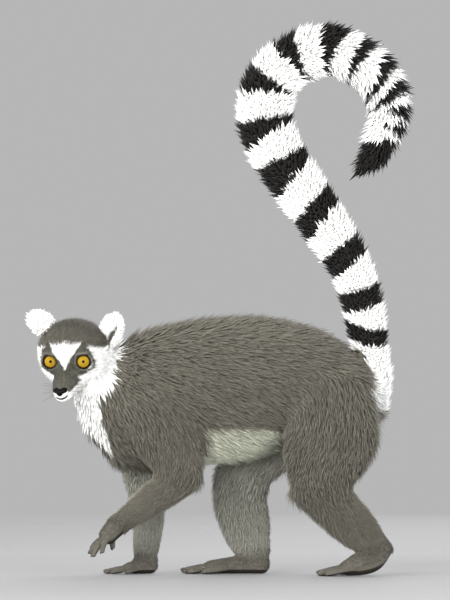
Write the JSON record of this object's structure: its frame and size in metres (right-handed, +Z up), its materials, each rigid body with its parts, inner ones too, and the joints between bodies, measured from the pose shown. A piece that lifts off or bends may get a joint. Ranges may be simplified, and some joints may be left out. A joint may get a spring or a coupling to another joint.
{
  "type": "ring-tailed lemur",
  "caption": "Ring-tailed lemur at life size, walking on all fours with one hand lifted, its face turned to the side and its banded tail raised in a hook.",
  "frame": {"origin": "on the floor, under the middle of the box around the whole animal", "axes": "-X the way the body faces, -Y the animal's left side, towards which the face is turned, +Z up"},
  "size_m": [0.4266, 0.1454, 0.611],
  "materials": {
    "coat_grey": "dense woolly fur",
    "coat_pale_grey": "short fur over dark leathery skin",
    "coat_white": "soft white fur",
    "coat_black": "soft black fur",
    "eye_amber": "wet and glossy",
    "nose_black": "moist bare skin"
  },
  "bodies": {
    "root": {"trunk": "coat_grey", "neck": "coat_grey", "thigh_left": "coat_grey", "thigh_right": "coat_grey", "shank_left": "coat_grey", "shank_right": "coat_grey", "upper_arm_left": "coat_grey", "upper_arm_right": "coat_grey", "forearm_left": "coat_grey", "forearm_right": "coat_grey", "hand_left": "coat_pale_grey", "hand_right": "coat_pale_grey", "foot_left": "coat_pale_grey", "foot_right": "coat_pale_grey", "head": "coat_white", "ear_left": "coat_white", "ear_right": "coat_white", "tail_1": "coat_white", "tail_2": "coat_white", "tail_3": "coat_white", "tail_4": "coat_white", "tail_5": "coat_black", "eye_left": "eye_amber", "eye_right": "eye_amber", "nose": "nose_black"}
  },
  "joints": []
}
